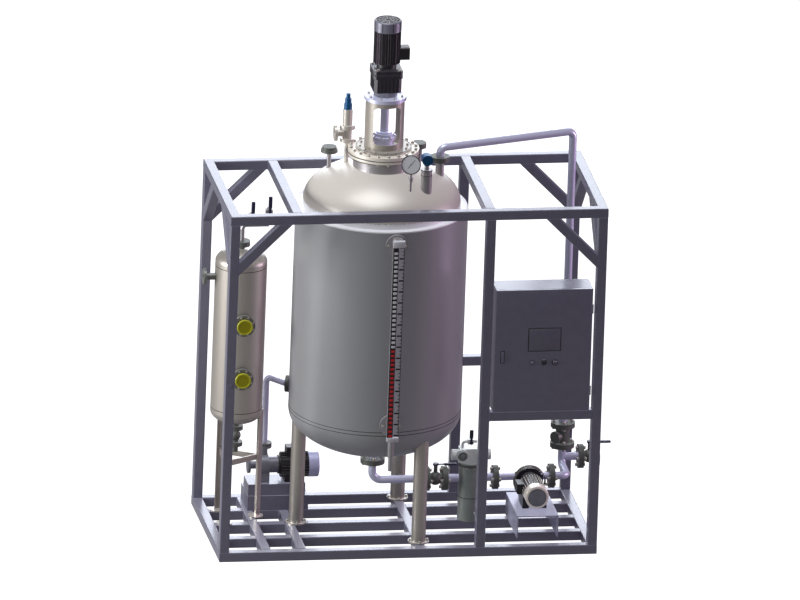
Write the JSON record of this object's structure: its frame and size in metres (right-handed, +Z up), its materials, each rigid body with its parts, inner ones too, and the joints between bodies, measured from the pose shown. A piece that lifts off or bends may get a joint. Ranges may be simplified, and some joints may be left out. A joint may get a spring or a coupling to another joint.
{
  "type": "skid-mounted mixing and storage tank",
  "caption": "Jacketed storage tank with top agitator in a square-tube skid frame, with separator, pumps, filter, valves, level gauge and control cabinet.",
  "frame": {"origin": "centre of the centre rail's underside, on the floor, in the middle of the frame's footprint", "axes": "+X right along the front, +Y to the back, +Z up"},
  "size_m": [2.591, 1.1823, 3.324],
  "materials": {
    "frame_paint": "satin",
    "steel": "satin",
    "pipe": "satin",
    "valve_paint": "satin",
    "motor_paint": "satin",
    "pump_paint": "satin",
    "lever_plastic": "matt",
    "gauge_rail": "satin",
    "filter_paint": "satin",
    "screen": "gloss"
  },
  "bodies": {
    "skid": {"base_long_rails": "frame_paint", "base_cross_rails": "frame_paint", "base_inner_rails": "frame_paint", "posts": "frame_paint", "top_long_rails": "frame_paint", "top_cross_rails": "frame_paint", "corner_braces": "frame_paint", "cabinet_rails": "frame_paint", "jacket_shell": "steel", "jacket_ring": "steel", "jacket_bottom_head": "steel", "inner_vessel": "steel", "tank_top_head": "steel", "tank_legs": "steel", "manhole_neck": "steel", "manhole_cover": "steel", "agitator_stool": "steel", "seal_housing": "steel", "gearbox": "motor_paint", "agitator_motor": "motor_paint", "safety_valve": "steel", "head_nozzles": "steel", "vapour_nozzle": "steel", "pressure_gauge": "steel", "level_transmitter": "steel", "level_gauge": "steel", "gauge_indicator": "gauge_rail", "outlet_pipe": "pipe", "outlet_valve": "valve_paint", "line_spools": "pipe", "filter_body": "filter_paint", "filter_head": "filter_paint", "filter_vent": "filter_paint", "transfer_pump": "pump_paint", "transfer_pump_motor": "motor_paint", "transfer_pump_stand": "frame_paint", "riser_lower": "pipe", "riser_valve": "valve_paint", "top_pipe": "pipe", "drain_valve": "valve_paint", "separator_shell": "steel", "separator_heads": "steel", "separator_legs": "steel", "separator_fittings": "steel", "separator_manifold": "pipe", "separator_drain": "valve_paint", "return_pump": "pump_paint", "return_pump_motor": "motor_paint", "return_pump_stand": "frame_paint", "return_pipe": "pipe", "cabinet_box": "frame_paint"},
    "door": {"cabinet_door": "frame_paint", "door_fittings": "screen"},
    "shaft": {"agitator_shaft": "steel"},
    "outlet_lever": {"outlet_valve_lever": "lever_plastic"},
    "drain_lever": {"drain_valve_lever": "lever_plastic"},
    "vent_lever": {"vent_lever": "lever_plastic"},
    "left_manifold_lever": {"manifold_lever_left": "lever_plastic"},
    "right_manifold_lever": {"manifold_lever_right": "lever_plastic"}
  },
  "joints": [
    {"name": "door_hinge", "type": "hinge", "parent": "skid", "child": "door", "pos_m": [1.0965, -0.54, 0.94], "axis": [0, 0, 1], "range_deg": [0, 110]},
    {"name": "shaft_spin", "type": "hinge", "parent": "skid", "child": "shaft", "pos_m": [-0.148, 0, 2.593], "axis": [0, 0, 1], "continuous": true},
    {"name": "outlet_valve_turn", "type": "hinge", "parent": "skid", "child": "outlet_lever", "pos_m": [0.247, 0, 0.411], "axis": [0, 0, 1], "range_deg": [-90, 0]},
    {"name": "drain_valve_turn", "type": "hinge", "parent": "skid", "child": "drain_lever", "pos_m": [1.239, 0.214, 0.459], "axis": [0, 0, 1], "range_deg": [-90, 0]},
    {"name": "vent_valve_turn", "type": "hinge", "parent": "skid", "child": "vent_lever", "pos_m": [0.4585, -0.025, 0.56], "axis": [0, 1, 0], "range_deg": [0, 90]},
    {"name": "left_manifold_turn", "type": "hinge", "parent": "skid", "child": "left_manifold_lever", "pos_m": [-0.931, 0.0915, 2.004], "axis": [0, 1, 0], "range_deg": [-90, 0]},
    {"name": "right_manifold_turn", "type": "hinge", "parent": "skid", "child": "right_manifold_lever", "pos_m": [-0.825, 0.0915, 2.035], "axis": [0, 1, 0], "range_deg": [0, 90]}
  ]
}
